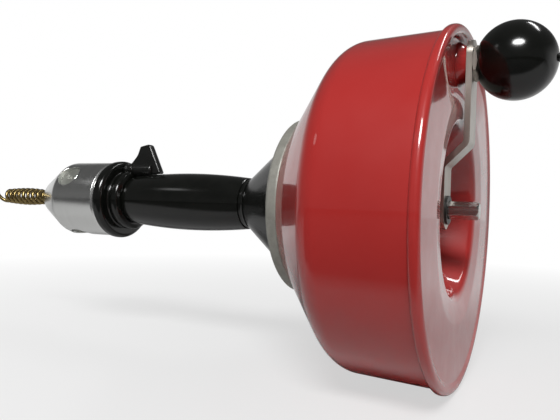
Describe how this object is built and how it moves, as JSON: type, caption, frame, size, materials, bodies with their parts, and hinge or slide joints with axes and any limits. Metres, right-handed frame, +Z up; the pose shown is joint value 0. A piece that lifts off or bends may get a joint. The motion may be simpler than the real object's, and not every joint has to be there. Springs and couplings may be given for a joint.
{
  "type": "drain snake machine",
  "caption": "Hand-held drum drain snake: closed steel drum with crank and hex drive on a black grip, and a spring cable with an auger tip fed out through a nose head.",
  "frame": {"origin": "centre of the hex drive where it passes the plane of the drum's rear rim", "axes": "+X along the drum's axis out of the hex drive, away from the nose; +Z up, towards the crank knob; +Y to the left seen from the crank end facing the nose"},
  "size_m": [0.3946, 0.1828, 0.1847],
  "materials": {
    "red_paint": "glossy enamel",
    "zinc": "zinc plated",
    "steel": "turned",
    "cable_steel": "oiled spring wire",
    "black_plastic": "glossy moulded",
    "black_lever": "glossy enamel on a die casting",
    "black_washer": "matte",
    "cast_grey": "matte casting",
    "bright_alu": "turned and polished",
    "bronze": "turned",
    "tip_brass": "brassed spring wire",
    "nylon": "matte"
  },
  "bodies": {
    "handle": {"handle_flange": "black_plastic", "core_tube": "steel", "grip_sleeve": "black_plastic", "guard_disc": "black_plastic", "nose_housing": "bright_alu", "nose_bush": "bronze", "rear_bush": "bronze", "front_bush": "bronze", "thrust_washer": "nylon"},
    "drum": {"drum_shell": "red_paint", "rear_plate": "red_paint", "crank_boss": "red_paint", "crank_arm": "zinc", "arm_nut": "zinc", "knob_spindle": "steel", "spindle_nut": "zinc", "drive_shaft": "steel", "shaft_washer": "black_washer", "shaft_nut": "zinc", "hub_flange": "cast_grey", "hub_backing_plate": "zinc", "hub_screws": "zinc", "hub_tube": "steel", "tube_retainer": "steel", "cable_coil": "cable_steel"},
    "knob": {"ball_knob": "black_plastic", "knob_bush": "bronze"},
    "lever": {"feed_lever": "black_lever", "lever_shaft": "steel"},
    "cam": {"cam_ring": "steel"},
    "cable": {"cable_lead": "cable_steel", "tip_ferrule": "steel", "auger_tip": "tip_brass"},
    "carrier_1": {"roller_carrier_1": "steel", "roller_pin_1": "steel"},
    "roller_1": {"feed_roller_1": "steel"},
    "carrier_2": {"roller_carrier_2": "steel", "roller_pin_2": "steel"},
    "roller_2": {"feed_roller_2": "steel"},
    "carrier_3": {"roller_carrier_3": "steel", "roller_pin_3": "steel"},
    "roller_3": {"feed_roller_3": "steel"}
  },
  "joints": [
    {"name": "drum_spin", "type": "hinge", "parent": "handle", "child": "drum", "pos_m": [0, 0, 0], "axis": [1, 0, 0], "continuous": true},
    {"name": "knob_spin", "type": "hinge", "parent": "drum", "child": "knob", "pos_m": [0.0239, 0, 0.074], "axis": [1, 0, 0], "continuous": true},
    {"name": "cable_feed", "type": "slide", "parent": "drum", "child": "cable", "axis": [-1, 0, 0], "range_m": [0, 0.15]},
    {"name": "lever_turn", "type": "hinge", "parent": "handle", "child": "lever", "pos_m": [-0.2128, 0, 0.0198], "axis": [1, 0, 0], "range_deg": [-20, 20]},
    {"name": "cam_turn", "type": "hinge", "parent": "handle", "child": "cam", "pos_m": [-0.2385, 0, 0], "axis": [1, 0, 0], "range_deg": [-6, 6]},
    {"name": "carrier_1_turn", "type": "hinge", "parent": "handle", "child": "carrier_1", "pos_m": [-0.255, -0.01111, 0.00932], "axis": [0, -0.766, 0.6428], "range_deg": [-6, 6]},
    {"name": "roller_1_spin", "type": "hinge", "parent": "carrier_1", "child": "roller_1", "pos_m": [-0.255, -0.00659, 0.00553], "axis": [1, 0, 0], "continuous": true},
    {"name": "carrier_2_turn", "type": "hinge", "parent": "handle", "child": "carrier_2", "pos_m": [-0.255, -0.00252, -0.01428], "axis": [0, -0.1736, -0.9848], "range_deg": [-6, 6]},
    {"name": "roller_2_spin", "type": "hinge", "parent": "carrier_2", "child": "roller_2", "pos_m": [-0.255, -0.00149, -0.00847], "axis": [1, 0, 0], "continuous": true},
    {"name": "carrier_3_turn", "type": "hinge", "parent": "handle", "child": "carrier_3", "pos_m": [-0.255, 0.01363, 0.00496], "axis": [0, 0.9397, 0.342], "range_deg": [-6, 6]},
    {"name": "roller_3_spin", "type": "hinge", "parent": "carrier_3", "child": "roller_3", "pos_m": [-0.255, 0.00808, 0.00294], "axis": [1, 0, 0], "continuous": true}
  ],
  "couplings": [
    {"joint": "cam_turn", "follows": "lever_turn", "ratio": -0.248},
    {"joint": "carrier_1_turn", "follows": "lever_turn", "ratio": 0.2405},
    {"joint": "carrier_2_turn", "follows": "lever_turn", "ratio": 0.2405},
    {"joint": "carrier_3_turn", "follows": "lever_turn", "ratio": 0.2405}
  ]
}
